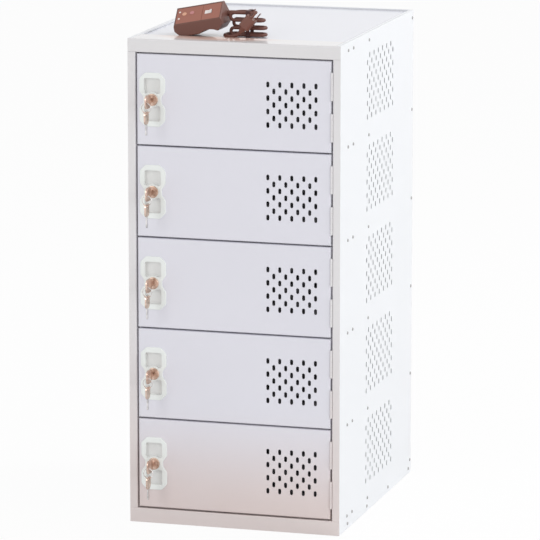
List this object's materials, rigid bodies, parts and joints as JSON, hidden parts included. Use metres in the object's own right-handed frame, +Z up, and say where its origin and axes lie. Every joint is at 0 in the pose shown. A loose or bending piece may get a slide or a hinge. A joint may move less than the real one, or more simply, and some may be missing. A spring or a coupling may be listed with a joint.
{
  "type": "laptop charging locker",
  "caption": "Narrow steel charging locker with a column of keyed, vented doors, recessed pull plates, cable holes in the back, and an outlet strip with a hanked cord on top.",
  "frame": {"origin": "centre of the cabinet's footprint, on the floor", "axes": "+X to the right seen from the front, +Y to the back, +Z up; the doors are on the -Y side"},
  "size_m": [0.409, 0.5836, 0.9755],
  "materials": {
    "door_paint": "satin powder coat",
    "body_paint": "satin powder coat",
    "frame_paint": "satin powder coat",
    "plate_paint": "semi-gloss coat",
    "rivet_paint": "satin coat",
    "hinge_steel": "brushed",
    "cam_steel": "zinc plated",
    "lock_bronze": "antique bronze plate",
    "key_bronze": "antique bronze plate",
    "spare_key_steel": "nickel plate",
    "grommet_rubber": "matt",
    "strip_plastic": "moulded gloss",
    "strip_face_plastic": "moulded satin",
    "lens_plastic": "clear gloss",
    "switch_plastic": "moulded gloss",
    "cord_rubber": "satin",
    "tie_plastic": "matt",
    "plug_plastic": "moulded satin"
  },
  "bodies": {
    "cabinet": {"front_frame": "frame_paint", "side_panel_left": "body_paint", "side_panel_right": "body_paint", "top_panel": "body_paint", "bottom_pan": "body_paint", "back_panel": "body_paint", "cable_grommets": "grommet_rubber", "shelves": "body_paint", "rivets": "rivet_paint", "frame_hinge_leaves": "hinge_steel", "hinge_pins": "hinge_steel", "strip_case": "strip_plastic", "strip_face": "strip_face_plastic", "strip_lamps": "lens_plastic", "cord_relief": "cord_rubber", "cord_lead": "cord_rubber", "cord_hank": "cord_rubber", "cord_tie": "tie_plastic", "cord_plug": "plug_plastic"},
    "door_1": {"door_1": "door_paint", "door_hinges_1": "hinge_steel", "lock_plate_1": "plate_paint", "lock_barrel_1": "lock_bronze"},
    "lock_1": {"lock_plug_1": "lock_bronze", "lock_cam_1": "cam_steel", "key_1": "key_bronze"},
    "spare_1": {"key_ring_1": "spare_key_steel"},
    "door_2": {"door_2": "door_paint", "door_hinges_2": "hinge_steel", "lock_plate_2": "plate_paint", "lock_barrel_2": "lock_bronze"},
    "lock_2": {"lock_plug_2": "lock_bronze", "lock_cam_2": "cam_steel", "key_2": "key_bronze"},
    "spare_2": {"key_ring_2": "spare_key_steel"},
    "door_3": {"door_3": "door_paint", "door_hinges_3": "hinge_steel", "lock_plate_3": "plate_paint", "lock_barrel_3": "lock_bronze"},
    "lock_3": {"lock_plug_3": "lock_bronze", "lock_cam_3": "cam_steel", "key_3": "key_bronze"},
    "spare_3": {"key_ring_3": "spare_key_steel"},
    "door_4": {"door_4": "door_paint", "door_hinges_4": "hinge_steel", "lock_plate_4": "plate_paint", "lock_barrel_4": "lock_bronze"},
    "lock_4": {"lock_plug_4": "lock_bronze", "lock_cam_4": "cam_steel", "key_4": "key_bronze"},
    "spare_4": {"key_ring_4": "spare_key_steel"},
    "door_5": {"door_5": "door_paint", "door_hinges_5": "hinge_steel", "lock_plate_5": "plate_paint", "lock_barrel_5": "lock_bronze"},
    "lock_5": {"lock_plug_5": "lock_bronze", "lock_cam_5": "cam_steel", "key_5": "key_bronze"},
    "spare_5": {"key_ring_5": "spare_key_steel"},
    "switch": {"strip_switch": "switch_plastic"}
  },
  "joints": [
    {"name": "door_1_hinge", "type": "hinge", "parent": "cabinet", "child": "door_1", "pos_m": [0.187, -0.2668, 0.8016], "axis": [0, 0, 1], "range_deg": [0, 115]},
    {"name": "lock_1_turn", "type": "hinge", "parent": "door_1", "child": "lock_1", "pos_m": [-0.1553, -0.254, 0.8016], "axis": [0, 1, 0], "range_deg": [0, 90]},
    {"name": "spare_1_swing", "type": "hinge", "parent": "lock_1", "child": "spare_1", "pos_m": [-0.1553, -0.304, 0.8016], "axis": [1, 0, 0], "range_deg": [-80, 20]},
    {"name": "door_2_hinge", "type": "hinge", "parent": "cabinet", "child": "door_2", "pos_m": [0.187, -0.2668, 0.6298], "axis": [0, 0, 1], "range_deg": [0, 115]},
    {"name": "lock_2_turn", "type": "hinge", "parent": "door_2", "child": "lock_2", "pos_m": [-0.1553, -0.254, 0.6298], "axis": [0, 1, 0], "range_deg": [0, 90]},
    {"name": "spare_2_swing", "type": "hinge", "parent": "lock_2", "child": "spare_2", "pos_m": [-0.1553, -0.304, 0.6298], "axis": [1, 0, 0], "range_deg": [-80, 20]},
    {"name": "door_3_hinge", "type": "hinge", "parent": "cabinet", "child": "door_3", "pos_m": [0.187, -0.2668, 0.458], "axis": [0, 0, 1], "range_deg": [0, 115]},
    {"name": "lock_3_turn", "type": "hinge", "parent": "door_3", "child": "lock_3", "pos_m": [-0.1553, -0.254, 0.458], "axis": [0, 1, 0], "range_deg": [0, 90]},
    {"name": "spare_3_swing", "type": "hinge", "parent": "lock_3", "child": "spare_3", "pos_m": [-0.1553, -0.304, 0.458], "axis": [1, 0, 0], "range_deg": [-80, 20]},
    {"name": "door_4_hinge", "type": "hinge", "parent": "cabinet", "child": "door_4", "pos_m": [0.187, -0.2668, 0.2862], "axis": [0, 0, 1], "range_deg": [0, 115]},
    {"name": "lock_4_turn", "type": "hinge", "parent": "door_4", "child": "lock_4", "pos_m": [-0.1553, -0.254, 0.2862], "axis": [0, 1, 0], "range_deg": [0, 90]},
    {"name": "spare_4_swing", "type": "hinge", "parent": "lock_4", "child": "spare_4", "pos_m": [-0.1553, -0.304, 0.2862], "axis": [1, 0, 0], "range_deg": [-80, 20]},
    {"name": "door_5_hinge", "type": "hinge", "parent": "cabinet", "child": "door_5", "pos_m": [0.187, -0.2668, 0.1144], "axis": [0, 0, 1], "range_deg": [0, 115]},
    {"name": "lock_5_turn", "type": "hinge", "parent": "door_5", "child": "lock_5", "pos_m": [-0.1553, -0.254, 0.1144], "axis": [0, 1, 0], "range_deg": [0, 90]},
    {"name": "spare_5_swing", "type": "hinge", "parent": "lock_5", "child": "spare_5", "pos_m": [-0.1553, -0.304, 0.1144], "axis": [1, 0, 0], "range_deg": [-80, 20]},
    {"name": "strip_switch_rock", "type": "hinge", "parent": "cabinet", "child": "switch", "pos_m": [-0.07183, -0.18377, 0.95595], "axis": [-0.1085, 0.8192, 0.5632], "range_deg": [0, 14]}
  ]
}
